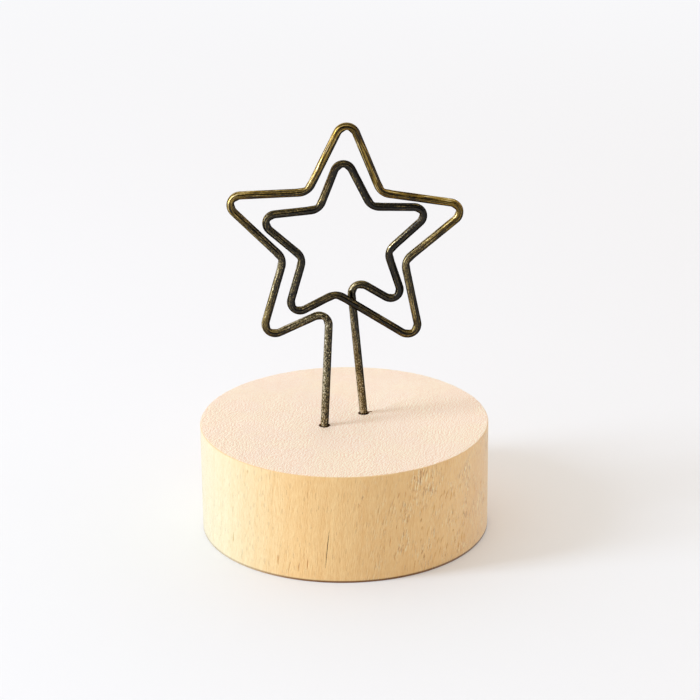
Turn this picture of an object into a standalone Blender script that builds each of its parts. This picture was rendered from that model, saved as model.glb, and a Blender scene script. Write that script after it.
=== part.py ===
"""A memo clip holder: a bent wire star on two legs, standing in a turned wooden disc.

Metres, +Z up. The origin is the centre of the disc's underside, the star's plane is XZ, and the
star's front faces -Y.
"""

import math

import bpy
from mathutils import Vector

# The wooden disc
BASE_DIAMETER = 0.0400
BASE_HEIGHT = 0.0154
BASE_EDGE_RADIUS = 0.0004

# The two drilled holes, either side of the disc's axis
HOLE_SPACING = 0.0070
HOLE_LINE_BEARING = math.radians(37.0)
FLOOR_UNDER_HOLES = 0.0034
HOLE_CLEARANCE = 0.0002
DRILL_POINT_ANGLE = math.radians(118.0)

# The glue at the bottom of each hole
GLUE_HEIGHT = 0.0015
GLUE_GAP = 0.0001
LEG_END_GAP = 0.0002

# The wire
WIRE_DIAMETER = 0.00112
TURN_GAP = 0.0001

# The star, seen from the front: the outer turn, and how far the inner turn stands in from it
STAR_CENTRE_X = 0.0002
STAR_CENTRE_HEIGHT = 0.0262
STAR_BEARING = 87.5
OUTER_TIP_REACH = 0.0182
OUTER_NOTCH_REACH = 0.0085
TIP_INSET = 0.0051
NOTCH_INSET = 0.0026

# Where the legs leave the star
LEFT_LEG_UNDER_NOTCH = 0.0015
LEFT_LEG_BEARING = -102.0
RIGHT_LEG_OVER_NOTCH = 0.0004
RIGHT_LEG_BEARING = -81.7

# Bend radii, to the wire's centre line
OUTER_TIP_BEND = 0.00136
OUTER_NOTCH_BEND = 0.00203
INNER_TIP_BEND = 0.00125
INNER_NOTCH_BEND = 0.00186
LEG_BEND = 0.00133
FOOT_BEND = 0.0030

# How finely the round shapes are cut up
BASE_STEPS = 128
BASE_EDGE_STEPS = 4
DRILL_STEPS = 32
WIRE_RING_RESOLUTION = 4
BEND_STEP = math.radians(12.0)

STAR_POINTS = 5


def new_collection(name):
    collection = bpy.data.collections.new(name)
    bpy.context.scene.collection.children.link(collection)
    return collection


def new_material(name, colour, roughness, metallic=0.0):
    material = bpy.data.materials.new(name)
    material.use_nodes = True
    shader = material.node_tree.nodes["Principled BSDF"]
    shader.inputs["Base Color"].default_value = (*colour, 1.0)
    shader.inputs["Roughness"].default_value = roughness
    shader.inputs["Metallic"].default_value = metallic
    return material


def wood_material():
    return new_material("pale_wood", (0.82, 0.58, 0.36), 0.62)


def wire_material():
    return new_material("antique_bronze_wire", (0.12, 0.085, 0.04), 0.38, 0.9)


def glue_material():
    return new_material("clear_glue", (0.80, 0.74, 0.60), 0.30)


def turned(name, profile, steps, collection):
    """A solid turned about Z. The profile lists (radius, height) from its top down its outer side."""
    mesh = bpy.data.meshes.new(name)
    points = [(radius, 0.0, height) for radius, height in profile]
    mesh.from_pydata(points, [(i, i + 1) for i in range(len(points) - 1)], [])
    body = bpy.data.objects.new(name, mesh)
    collection.objects.link(body)
    screw = body.modifiers.new("turn", "SCREW")
    screw.axis = "Z"
    screw.angle = math.tau
    screw.steps = steps
    screw.render_steps = steps
    screw.use_merge_vertices = True
    screw.merge_threshold = 0.000001
    return body


def quarter_round(centre_radius, centre_height, radius, start_angle):
    """The points of a quarter circle that turns clockwise from start_angle."""
    angles = [start_angle - i * math.pi / 2 / BASE_EDGE_STEPS for i in range(BASE_EDGE_STEPS + 1)]
    return [
        (centre_radius + radius * math.cos(a), centre_height + radius * math.sin(a)) for a in angles
    ]


def smooth_but_for_edges(body):
    """Fixes the body's finished shape as its mesh, shaded smooth except across its sharp edges."""
    graph = bpy.context.evaluated_depsgraph_get()
    mesh = bpy.data.meshes.new_from_object(body.evaluated_get(graph))
    body.modifiers.clear()
    body.data = mesh
    mesh.name = body.name
    mesh.shade_smooth()
    mesh.set_sharp_from_angle(angle=math.radians(35.0))


def hole_centres():
    """Where the left and the right hole open in the disc's top, as (x, y)."""
    half = HOLE_SPACING / 2
    along = Vector((math.cos(HOLE_LINE_BEARING), math.sin(HOLE_LINE_BEARING)))
    return {"left": -half * along, "right": half * along}


def hole_radius():
    return WIRE_DIAMETER / 2 + HOLE_CLEARANCE


def drill_point_height(radius):
    """How far the cone left by the drill reaches below the hole's straight wall."""
    return radius / math.tan(DRILL_POINT_ANGLE / 2)


def drill(side, centre, cutters):
    """The solid that the drill sweeps, with its cone at the bottom."""
    above_top = 0.002
    radius = hole_radius()
    profile = [
        (0.0, BASE_HEIGHT + above_top),
        (radius, BASE_HEIGHT + above_top),
        (radius, FLOOR_UNDER_HOLES + drill_point_height(radius)),
        (0.0, FLOOR_UNDER_HOLES),
    ]
    cutter = turned(f"{side}_drill", profile, DRILL_STEPS, cutters)
    cutter.location = (centre.x, centre.y, 0.0)
    cutter.hide_render = True
    cutter.display_type = "WIRE"
    return cutter


def wood_base(parts, cutters):
    """The turned disc, its edges eased with sandpaper, with a blind hole for each leg."""
    radius = BASE_DIAMETER / 2
    ease = BASE_EDGE_RADIUS
    profile = [(0.0, BASE_HEIGHT)]
    profile += quarter_round(radius - ease, BASE_HEIGHT - ease, ease, math.pi / 2)
    profile += quarter_round(radius - ease, ease, ease, 0.0)
    profile += [(0.0, 0.0)]
    body = turned("wood_base", profile, BASE_STEPS, parts)
    for side, centre in hole_centres().items():
        cut = body.modifiers.new(f"{side}_hole", "BOOLEAN")
        cut.operation = "DIFFERENCE"
        cut.solver = "EXACT"
        cut.object = drill(side, centre, cutters)
    bpy.context.view_layer.update()
    smooth_but_for_edges(body)
    body.data.materials.append(wood_material())
    return body


def glue_plug(side, centre, material, parts):
    """The set pool of glue that fills the drill's cone and the first of the hole's wall."""
    radius = hole_radius() - GLUE_GAP
    cone = drill_point_height(radius)
    profile = [(0.0, GLUE_HEIGHT), (radius, GLUE_HEIGHT), (radius, cone), (0.0, 0.0)]
    plug = turned(f"{side}_glue_plug", profile, DRILL_STEPS, parts)
    plug.location = (centre.x, centre.y, glue_floor())
    smooth_but_for_edges(plug)
    plug.data.materials.append(material)
    return plug


def glue_floor():
    """The height of the glue's lowest point above the disc's underside."""
    return FLOOR_UNDER_HOLES + GLUE_GAP / math.sin(DRILL_POINT_ANGLE / 2)


def leg_end_height():
    """How high above the disc's underside each leg of the wire ends."""
    return glue_floor() + GLUE_HEIGHT + LEG_END_GAP


class Bend:
    """A corner of the wire: where its two straights would meet, and the radius that rounds it."""

    def __init__(self, point, radius):
        self.point = Vector(point)
        self.radius = radius


def star_bend(reach, bearing, depth, radius):
    """A bend at a reach and a bearing (degrees, anticlockwise from +X) from the star's centre."""
    angle = math.radians(bearing)
    x = STAR_CENTRE_X + reach * math.cos(angle)
    z = BASE_HEIGHT + STAR_CENTRE_HEIGHT + reach * math.sin(angle)
    return Bend((x, depth, z), radius)


def turn_bends(steps, strays, tip, notch, depths):
    """The bends of one turn of the star.

    steps counts half points clockwise from the top tip, so even steps are tips and odd steps are
    notches. strays gives how far each bend left the regular star when the wire was bent by hand:
    outwards in millimetres, and anticlockwise in degrees.
    """
    bends = []
    for step, (outwards, anticlockwise), depth in zip(steps, strays, depths):
        reach, radius = notch if step % 2 else tip
        bearing = STAR_BEARING - step * 180.0 / STAR_POINTS + anticlockwise
        bends.append(star_bend(reach + outwards / 1000, bearing, depth, radius))
    return bends


def wire_bends():
    """Every corner of the wire, from the left leg's end to the right leg's end."""
    holes = hole_centres()
    end_height = leg_end_height()
    # The front turn and the right leg that passes behind it stay clear of each other
    back = (WIRE_DIAMETER + TURN_GAP) / 2
    front = -back

    left = holes["left"]
    bends = [Bend((left.x, left.y, end_height), 0.0), Bend((left.x, left.y, BASE_HEIGHT), FOOT_BEND)]
    left_leg_reach = OUTER_NOTCH_REACH + LEFT_LEG_UNDER_NOTCH
    bends.append(star_bend(left_leg_reach, LEFT_LEG_BEARING, front, LEG_BEND))

    # The outer turn runs clockwise from the lower left tip to the bottom notch
    outer_steps = range(-4, 6)
    outer_strays = (
        (0.1, -0.9),
        (0.0, 0.4),
        (0.0, -1.0),
        (0.0, 1.0),
        (-0.2, 0.5),
        (-0.1, 1.6),
        (-0.2, -0.4),
        (0.2, 0.3),
        (0.2, 1.5),
        (-1.0, -6.1),
    )
    outer_tip = (OUTER_TIP_REACH, OUTER_TIP_BEND)
    outer_notch = (OUTER_NOTCH_REACH, OUTER_NOTCH_BEND)
    bends += turn_bends(outer_steps, outer_strays, outer_tip, outer_notch, [front] * len(outer_steps))

    # The inner turn runs clockwise from the lower left tip to the lower right tip, drifting back
    inner_steps = range(-4, 5)
    inner_strays = (
        (0.6, 2.4),
        (0.1, 7.2),
        (-0.4, 3.9),
        (-0.4, 3.4),
        (-0.6, 3.0),
        (0.0, -0.8),
        (0.2, 3.2),
        (0.3, 2.4),
        (0.3, 6.2),
    )
    inner_tip = (OUTER_TIP_REACH - TIP_INSET, INNER_TIP_BEND)
    inner_notch_reach = OUTER_NOTCH_REACH - NOTCH_INSET
    inner_notch = (inner_notch_reach, INNER_NOTCH_BEND)
    drift = (back - front) / (len(inner_steps) + 1)
    depths = [front + drift * (i + 1) for i in range(len(inner_steps))]
    bends += turn_bends(inner_steps, inner_strays, inner_tip, inner_notch, depths)

    right = holes["right"]
    right_leg_reach = inner_notch_reach - RIGHT_LEG_OVER_NOTCH
    bends.append(star_bend(right_leg_reach, RIGHT_LEG_BEARING, back, LEG_BEND))
    bends.append(Bend((right.x, right.y, BASE_HEIGHT), FOOT_BEND))
    bends.append(Bend((right.x, right.y, end_height), 0.0))
    return bends


def rounded(before, bend, after):
    """The points of the arc that rounds a bend between its two straights."""
    to_before = (before - bend.point).normalized()
    to_after = (after - bend.point).normalized()
    half = to_before.angle(to_after) / 2
    shorter = min((before - bend.point).length, (after - bend.point).length)
    # A bend never takes up more than half of the shorter straight beside it
    radius = min(bend.radius, 0.5 * shorter * math.tan(half))
    centre = bend.point + (to_before + to_after).normalized() * (radius / math.sin(half))
    start = bend.point + to_before * (radius / math.tan(half)) - centre
    end = bend.point + to_after * (radius / math.tan(half)) - centre
    sweep = start.angle(end)
    steps = max(2, math.ceil(sweep / BEND_STEP))
    arc = []
    for i in range(steps + 1):
        share = i / steps
        a = math.sin((1 - share) * sweep) / math.sin(sweep)
        b = math.sin(share * sweep) / math.sin(sweep)
        arc.append(centre + start * a + end * b)
    return arc


def wire_route():
    """The wire's centre line: straights joined by arcs."""
    bends = wire_bends()
    route = [bends[0].point]
    for before, bend, after in zip(bends, bends[1:], bends[2:]):
        route += rounded(before.point, bend, after.point)
    route.append(bends[-1].point)
    return route


def star_wire(parts):
    """One length of round wire, bent from end to end."""
    curve = bpy.data.curves.new("star_wire", "CURVE")
    curve.dimensions = "3D"
    curve.bevel_depth = WIRE_DIAMETER / 2
    curve.bevel_resolution = WIRE_RING_RESOLUTION
    curve.use_fill_caps = True
    route = wire_route()
    spline = curve.splines.new("POLY")
    spline.points.add(len(route) - 1)
    for point, place in zip(spline.points, route):
        point.co = (*place, 1.0)
    spline.use_smooth = True
    wire = bpy.data.objects.new("star_wire", curve)
    parts.objects.link(wire)
    curve.materials.append(wire_material())
    return wire


def clear_scene():
    for old in list(bpy.data.objects):
        bpy.data.objects.remove(old, do_unlink=True)


def main():
    clear_scene()
    parts = new_collection("memo_clip_holder")
    cutters = new_collection("cutters")
    cutters.hide_render = True
    stand = bpy.data.objects.new("memo_clip_holder_origin", None)
    parts.objects.link(stand)
    pieces = [wood_base(parts, cutters), star_wire(parts)]
    glue = glue_material()
    for side, centre in hole_centres().items():
        pieces.append(glue_plug(side, centre, glue, parts))
    for piece in pieces:
        piece.parent = stand


main()
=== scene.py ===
# %% [markdown]
# # A star memo clip, dressed for its picture
# The real thing is a length of plated wire, bent into a star inside a star, whose two ends are glued
# into a turned disc of pale wood. The measured parts come first: every piece made below has to sit
# exactly where they are, so they are loaded before anything else and never moved.

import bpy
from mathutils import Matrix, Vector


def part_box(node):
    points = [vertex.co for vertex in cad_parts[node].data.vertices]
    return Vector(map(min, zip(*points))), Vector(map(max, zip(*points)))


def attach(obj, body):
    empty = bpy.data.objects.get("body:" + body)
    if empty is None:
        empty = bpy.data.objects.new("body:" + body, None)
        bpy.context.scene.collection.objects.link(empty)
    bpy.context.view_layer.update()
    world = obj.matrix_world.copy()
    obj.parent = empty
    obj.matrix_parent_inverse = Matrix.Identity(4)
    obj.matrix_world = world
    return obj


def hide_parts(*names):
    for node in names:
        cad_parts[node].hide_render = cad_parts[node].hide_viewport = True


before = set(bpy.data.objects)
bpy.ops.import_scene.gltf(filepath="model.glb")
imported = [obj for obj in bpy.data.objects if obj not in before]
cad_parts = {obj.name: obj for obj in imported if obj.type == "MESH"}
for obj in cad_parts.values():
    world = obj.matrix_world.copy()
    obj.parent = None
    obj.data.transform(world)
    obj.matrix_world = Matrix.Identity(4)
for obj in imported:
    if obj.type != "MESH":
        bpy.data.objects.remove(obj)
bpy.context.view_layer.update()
print("measured parts:", sorted(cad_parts))

# %% [markdown]
# ## Modules and units
# Blender works in metres, but a thing this small is easier to think about in millimetres. So a
# length on the object is a number of millimetres times MM, or is said to be in mm. Only the window
# and the floor, which are the size of a room, are given in plain metres.

# %% Modules and units
import math
import random

import bpy
from mathutils import Matrix, Vector, noise

MM = 0.001
UP = Vector((0.0, 0.0, 1.0))
BACK = Vector((0.0, 1.0, 0.0))
print("one millimetre is", MM, "m")

# %% [markdown]
# ## Colours and nodes
# Paint charts and photographs give colours as sRGB hex values, but a renderer adds up light, which
# is linear. One function turns the one into the other. Another adds a shader node with its settings
# and its links, so that each material below reads as a list of what it is made of. Two kinds of
# setting come up all the time, so they have names: a step that is soft at both ends, and a mix that
# mixes colours.

# %% Colours and nodes
SOFTLY = {"interpolation_type": "SMOOTHSTEP"}
IN_COLOUR = {"data_type": "RGBA"}


def linear(hex_colour):
    """The linear colour and alpha of an sRGB hex value such as "E8C28E"."""
    channels = [int(hex_colour[i : i + 2], 16) / 255 for i in (0, 2, 4)]
    return (*[c / 12.92 if c <= 0.04045 else ((c + 0.055) / 1.055) ** 2.4 for c in channels], 1.0)


def fill(tree, node, inputs):
    """Fills a node's sockets, by name or number, with values, other nodes or their outputs."""
    for key, value in inputs.items():
        named = [s for s in node.inputs if s.enabled and s.name == key]
        socket = node.inputs[key] if isinstance(key, int) else named[0]
        if isinstance(value, bpy.types.Node):
            value = next(s for s in value.outputs if s.enabled)
        if isinstance(value, bpy.types.NodeSocket):
            tree.links.new(value, socket)
        else:
            socket.default_value = value


def add(tree, kind, inputs=None, **settings):
    """Adds a node with its settings, and fills its sockets."""
    made = tree.nodes.new("ShaderNode" + kind)
    for name, value in settings.items():
        setattr(made, name, value)
    fill(tree, made, inputs or {})
    return made


def new_material(name):
    """A material with its node tree and its one Principled shader."""
    material = bpy.data.materials.new(name)
    material.use_nodes = True
    return material, material.node_tree, material.node_tree.nodes["Principled BSDF"]


print("honey beech in linear light:", [round(c, 3) for c in linear("E8C28E")[:3]])

# %% [markdown]
# ## The camera
# The picture was taken from a third of a metre away with a long lens, from above and a touch to the
# left. A camera is placed by where it stands and where it looks. The real one leaned by half a
# degree, so a small roll is added last, by turning the camera about its own line of sight.

# %% Camera
CAMERA_PLACE = Vector((-10.39, -312.98, 145.39)) * MM
CAMERA_TURN = math.radians(2.065)
CAMERA_DIP = math.radians(20.924)
CAMERA_ROLL = math.radians(-0.549)
LENS_MM = 125.43
SENSOR_MM = 36.0
NEAREST_SEEN = 10.0 * MM

looks = Vector((
    math.sin(CAMERA_TURN) * math.cos(CAMERA_DIP),
    math.cos(CAMERA_TURN) * math.cos(CAMERA_DIP),
    -math.sin(CAMERA_DIP),
))
level = Vector((math.cos(CAMERA_TURN), -math.sin(CAMERA_TURN), 0.0))
right = Matrix.Rotation(-CAMERA_ROLL, 3, looks) @ level
above = right.cross(looks)
lens = bpy.data.cameras.new("studio_camera")
lens.lens = LENS_MM
lens.sensor_width = SENSOR_MM
lens.clip_start = NEAREST_SEEN
camera = bpy.data.objects.new("studio_camera", lens)
camera_axes = Matrix((right, above, -looks)).transposed()
camera.matrix_world = Matrix.Translation(CAMERA_PLACE) @ camera_axes.to_4x4()
bpy.context.scene.collection.objects.link(camera)
bpy.context.scene.camera = camera
bpy.context.scene.view_settings.view_transform = "Standard"
print("camera stands", round(CAMERA_PLACE.length / MM), "mm from the disc's middle")

# %% [markdown]
# ## Light
# Daylight from one tall, narrow window does most of the work. It stands on the left, a little in
# front and low down, so the disc's left side is bright and its shadow is long. An area lamp is the
# right tool, because its size sets how soft the shadows are and how wide the bright line down each
# wire is. Daylight is bluer than the light that comes back from the room, so the shadows on white
# paper look warm.

# %% Window
DAYLIGHT = "DDEEFF"
WINDOW_IN_FRONT = math.radians(12.0)
WINDOW_UP = math.radians(22.0)
WINDOW_DISTANCE = 0.80
WINDOW_WIDTH = 0.18
WINDOW_HEIGHT = 0.62
WINDOW_WATTS = 4.6

towards_window = Vector((
    -math.cos(WINDOW_IN_FRONT) * math.cos(WINDOW_UP),
    -math.sin(WINDOW_IN_FRONT) * math.cos(WINDOW_UP),
    math.sin(WINDOW_UP),
))
daylight = bpy.data.lights.new("tall_window", "AREA")
daylight.shape = "RECTANGLE"
daylight.size = WINDOW_WIDTH
daylight.size_y = WINDOW_HEIGHT
daylight.energy = WINDOW_WATTS
daylight.color = linear(DAYLIGHT)[:3]
window = bpy.data.objects.new("tall_window", daylight)
window.location = towards_window * WINDOW_DISTANCE
window.rotation_euler = towards_window.to_track_quat("Z", "Y").to_euler()
window.visible_camera = False
bpy.context.scene.collection.objects.link(window)
print("window stands at", [round(c, 2) for c in window.location], "m")

# %% [markdown]
# ## The room
# Behind the object and beside it the studio is white, overhead it is a little dimmer and creamier,
# and behind the camera it is dark. The camera only ever sees the white. Every other ray meets the
# room as it is, fading from the white backdrop to the dark front, and that is what draws a dark line
# down the middle of each bright wire. The sky's generated coordinates are directions, so each part
# of the room is a soft step along one direction.

# %% Room
PAPER_WHITE = "F9F9FB"
ROOM_WALLS = "FFF5FB"
ROOM_CEILING = "DAD5C3"
ROOM_DIM = "1C1A18"
ROOM_STRENGTH = 1.3
DIM_TURN = math.radians(12.0)
# The cosine of the angle from the dim end: white beyond 65 degrees, fully dim within 14 degrees
DIM_END = {"From Min": 0.42, "From Max": 0.97}
# The sine of the height above the horizon: the ceiling starts at 14 degrees and is full at 58
CEILING = {"From Min": 0.25, "From Max": 0.85}

room = bpy.data.worlds.new("studio_room")
room.use_nodes = True
bpy.context.scene.world = room
tree = room.node_tree
tree.nodes.clear()
direction = add(tree, "TexCoord").outputs["Generated"]
towards_dim = (math.sin(DIM_TURN), -math.cos(DIM_TURN), 0.0)
facing_dim = add(tree, "VectorMath", {0: direction, 1: towards_dim}, operation="DOT_PRODUCT")
facing_dim = facing_dim.outputs["Value"]
facing_up = add(tree, "SeparateXYZ", {0: direction}).outputs["Z"]
dimness = add(tree, "MapRange", {"Value": facing_dim, **DIM_END}, **SOFTLY)
upness = add(tree, "MapRange", {"Value": facing_up, **CEILING}, **SOFTLY)
ends = {"Factor": dimness, "A": linear(ROOM_WALLS), "B": linear(ROOM_DIM)}
walls = add(tree, "Mix", ends, **IN_COLOUR)
levels = {"Factor": upness, "A": walls, "B": linear(ROOM_CEILING)}
around = add(tree, "Mix", levels, **IN_COLOUR)
lit_room = add(tree, "Background", {"Color": around, "Strength": ROOM_STRENGTH})
seen_room = add(tree, "Background", {"Color": linear(PAPER_WHITE), "Strength": 1.0})
camera_sees = add(tree, "LightPath").outputs["Is Camera Ray"]
both = add(tree, "MixShader", {0: camera_sees, 1: lit_room, 2: seen_room})
add(tree, "OutputWorld", {"Surface": both})
print("room fades from", ROOM_DIM, "in front to", ROOM_WALLS, "behind")

# %% [markdown]
# ## The paper floor
# The object stands on a sweep of white paper. Near the object the paper is ordinary matt paper, so
# that it takes the shadow and throws light back at the wood. Further off it turns into an even glow
# of the same white, which joins the backdrop without a seam from every side.

# %% Floor
FLOOR_HALF = 3.0
PAPER = "ECEEF5"
PAPER_ROUGHNESS = 0.9
PAPER_GLOSS = 0.1
# How far from the object the glow starts, and where it is full
GLOW = {"From Min": 80.0 * MM, "From Max": 400.0 * MM}

paper, tree, shader = new_material("white_paper")
fill(tree, shader, {
    "Base Color": linear(PAPER),
    "Roughness": PAPER_ROUGHNESS,
    "Specular IOR Level": PAPER_GLOSS,
})
place = add(tree, "TexCoord").outputs["Object"]
away = add(tree, "VectorMath", {0: place}, operation="LENGTH").outputs["Value"]
faded = add(tree, "MapRange", {"Value": away, **GLOW}, **SOFTLY)
paper_glow = add(tree, "Emission", {"Color": linear(PAPER_WHITE), "Strength": 1.0})
sweep = add(tree, "MixShader", {0: faded, 1: shader, 2: paper_glow})
fill(tree, tree.nodes["Material Output"], {"Surface": sweep})

floor_mesh = bpy.data.meshes.new("paper_floor")
signs = ((-1, -1), (1, -1), (1, 1), (-1, 1))
corners = [(x * FLOOR_HALF, y * FLOOR_HALF, 0.0) for x, y in signs]
floor_mesh.from_pydata(corners, [], [(0, 1, 2, 3)])
floor = bpy.data.objects.new("paper_floor", floor_mesh)
floor.data.materials.append(paper)
bpy.context.scene.collection.objects.link(floor)
print("floor is", 2 * FLOOR_HALF, "m square")

# %% [markdown]
# ## One way to make every skin
# The disc, the drills, the splits in the wood and the wire are all the same kind of shape: a ring of
# points carried along and changed as it goes. So one function joins a list of rings into a closed
# skin, and each piece below only has to say where its rings are.

# %% Rings into a skin
def skin(name, rings):
    """A closed mesh through rings of equal length, capped at both ends."""
    count = len(rings[0])
    points = [point for ring in rings for point in ring]
    faces = [tuple(reversed(range(count)))]
    for row in range(len(rings) - 1):
        here = row * count
        for i in range(count):
            j = (i + 1) % count
            faces.append((here + i, here + j, here + count + j, here + count + i))
    last = (len(rings) - 1) * count
    faces.append(tuple(range(last, last + count)))
    mesh = bpy.data.meshes.new(name)
    mesh.from_pydata(points, [], faces)
    mesh.update()
    piece = bpy.data.objects.new(name, mesh)
    bpy.context.scene.collection.objects.link(piece)
    return piece


print("a skin is made by", skin.__name__, "from rings of points")

# %% [markdown]
# ## The wooden disc
# The disc is cut from a turned bar and its two corners are eased by hand on sandpaper, so the eased
# corner is wider in some places than in others and has a nick here and there. A lathe profile alone
# would be too perfect. Here each point of the ring gets its own profile, with a corner radius that
# wanders as the hand did. It never grows outwards, so the disc keeps its measured size.

# %% Sizes of the disc, from the measured parts
disc_low, disc_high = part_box("wood_base")
DISC_RADIUS = (disc_high.x - disc_low.x) / 2
DISC_HEIGHT = disc_high.z
DISC_COLUMNS = 900
EASE_STEPS = 6
SIDE_STEPS = 12
TOP_EASE = (0.06 * MM, 0.30 * MM)
FOOT_EASE = (0.015 * MM, 0.03 * MM)
FLAT_MARGIN = 0.5 * MM
print("disc is", round(2 * DISC_RADIUS / MM, 2), "mm across and", round(DISC_HEIGHT / MM, 2), "mm high")

# %% [markdown]
# ## How a hand wanders
# Smooth noise taken along a circle closes on itself, which plain random numbers don't. A circle
# through few cells of the noise gives broad waves round the disc, and one through many cells gives
# a ragged edge. The eased corner is a sum of three such waves, and of nicks where a fourth one peaks.

# %% Eased corner
# Blender's noise stays well inside -1 to 1, so it is spread out to fill 0 to 1
NOISE_SPREAD = 0.9
# Each wave's cells round the disc, its own seed, and its share of the whole: broad, fine, ragged
EASE_WAVES = ((3.0, 0.0, 0.45), (24.0, 7.0, 0.25), (110.0, 19.0, 0.30))
NICK_CELLS = 60.0
NICK_SEED = 13.0
NICK_ABOVE = 0.80
NICK_GROWTH = 2.5
TOP_SEED = 1.0
FOOT_SEED = 5.0


def wander(angle, seed, cells):
    """A smooth value from 0 to 1 that wanders round the disc and closes on itself."""
    place = Vector((math.cos(angle) * cells, math.sin(angle) * cells, seed))
    return min(1.0, max(0.0, 0.5 + NOISE_SPREAD * noise.noise(place)))


def ease_at(angle, limits, seed):
    """How far the corner was eased at this angle, with a rare nick."""
    low, high = limits
    waves = sum(share * wander(angle, seed + own, cells) for cells, own, share in EASE_WAVES)
    nick = max(0.0, wander(angle, seed + NICK_SEED, NICK_CELLS) - NICK_ABOVE) * NICK_GROWTH
    return low + (high - low) * (waves + nick)


print("top corner is eased by", round(ease_at(0.0, TOP_EASE, TOP_SEED) / MM, 3), "mm at the right")

# %% [markdown]
# ## The disc's skin
# Each column of points runs from the flat top over the eased corner, down the side and round the
# foot. The top's corner is eased by up to a third of a millimetre and the foot's only by a hair,
# because the foot was sawn off last and just wiped over.

# %% Disc skin
def disc_column(angle):
    """(radius, height) down the disc's skin at this angle, from its flat top to its flat foot."""
    top = ease_at(angle, TOP_EASE, TOP_SEED)
    foot = ease_at(angle, FOOT_EASE, FOOT_SEED)
    column = [(DISC_RADIUS - top - FLAT_MARGIN, DISC_HEIGHT)]
    for step in range(EASE_STEPS + 1):
        turn = math.pi / 2 * step / EASE_STEPS
        column.append((
            DISC_RADIUS - top + top * math.sin(turn),
            DISC_HEIGHT - top + top * math.cos(turn),
        ))
    for step in range(1, SIDE_STEPS):
        share = step / SIDE_STEPS
        column.append((DISC_RADIUS, (DISC_HEIGHT - top) * (1 - share) + foot * share))
    for step in range(EASE_STEPS + 1):
        turn = math.pi / 2 * step / EASE_STEPS
        column.append((
            DISC_RADIUS - foot + foot * math.cos(turn),
            foot - foot * math.sin(turn),
        ))
    column.append((DISC_RADIUS - foot - FLAT_MARGIN, 0.0))
    return column


angles = [math.tau * i / DISC_COLUMNS for i in range(DISC_COLUMNS)]
columns = [disc_column(angle) for angle in angles]
disc_rings = [
    [(r * math.cos(a), r * math.sin(a), z) for a, (r, z) in zip(angles, heights)]
    for heights in zip(*columns)
]
disc = skin("pale_wood_disc", disc_rings[::-1])
print("disc skin has", len(disc.data.vertices), "points")

# %% [markdown]
# ## What the drill left
# Each hole is a little wider than the wire, with the cone of a twist drill at its bottom. The drill
# tears the fibres as it enters end grain, so the mouth is ragged and a touch wider than the bore.
# A dark spot would look flat from the side, so the holes are cut with a Boolean, which keeps their
# walls true. A bore's place and width come from the pool of glue that the measured parts have at
# its foot.

# %% Drills for the holes
GLUE_GAP = 0.1 * MM
MOUTH_TEAR = 0.12 * MM
MOUTH_DEPTH = 0.16 * MM
MOUTH_CELLS = 4.0
MOUTH_SEEDS = {"left": 21.0, "right": 27.0}
DRILL_SIDES = 48
DRILL_TIP = 0.02 * MM
DRILL_CONE = math.radians(59.0)
DRILL_OVERSHOOT = 1.0 * MM


def hole_facts(side):
    """A hole's centre, radius and lowest point, from the glue plug at its foot."""
    low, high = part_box(f"{side}_glue_plug")
    centre = (low + high) / 2
    return centre.x, centre.y, (high.x - low.x) / 2 + GLUE_GAP, low.z - GLUE_GAP


def drill(side):
    """The solid that the drill takes out, torn wider at its mouth."""
    x, y, radius, lowest = hole_facts(side)
    stations = [
        (DRILL_TIP, lowest + DRILL_TIP / math.tan(DRILL_CONE), 0.0),
        (radius, lowest + radius / math.tan(DRILL_CONE), 0.0),
        (radius, DISC_HEIGHT - MOUTH_DEPTH, 0.0),
        (radius, DISC_HEIGHT, MOUTH_TEAR),
        (radius, DISC_HEIGHT + DRILL_OVERSHOOT, MOUTH_TEAR),
    ]
    rings = []
    for width, height, tear in stations:
        ring = []
        for i in range(DRILL_SIDES):
            angle = math.tau * i / DRILL_SIDES
            wide = width + tear * wander(angle, MOUTH_SEEDS[side], MOUTH_CELLS) ** 2
            ring.append((x + wide * math.cos(angle), y + wide * math.sin(angle), height))
        rings.append(ring)
    return skin(f"{side}_drill", rings)


drills = [drill(side) for side in MOUTH_SEEDS]
print("holes are", round(2 * hole_facts("left")[2] / MM, 2), "mm wide")

# %% [markdown]
# ## A flake beside the right hole
# The drill lifted a small flake where it entered. A shallow dish with a ragged outline, cut by the
# same Boolean as the holes, catches the light as the real one does. A bump could darken it, but
# wouldn't break the hole's edge.

# %% Flake
FLAKE_BEARING = math.radians(20.0)
FLAKE_LENGTH = 0.60 * MM
FLAKE_WIDTH = 0.34 * MM
FLAKE_DEPTH = 0.10 * MM
FLAKE_SIDES = 12
# How far from the hole's edge its middle lies, as a share of its length
FLAKE_REACH = 0.4
# Its outline is this much of its full size where it is narrowest, and wanders by the rest
FLAKE_CORE = 0.8
FLAKE_RAGGED = 0.4
FLAKE_SEED = 33.0
FLAKE_CELLS = 2.0
# Each ring of the dish: its share of the outline, and its height above the disc's top
FLAKE_RINGS = (
    (0.25, -FLAKE_DEPTH),
    (0.8, -0.35 * FLAKE_DEPTH),
    (1.0, 0.0),
    (1.0, DRILL_OVERSHOOT),
)


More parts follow.
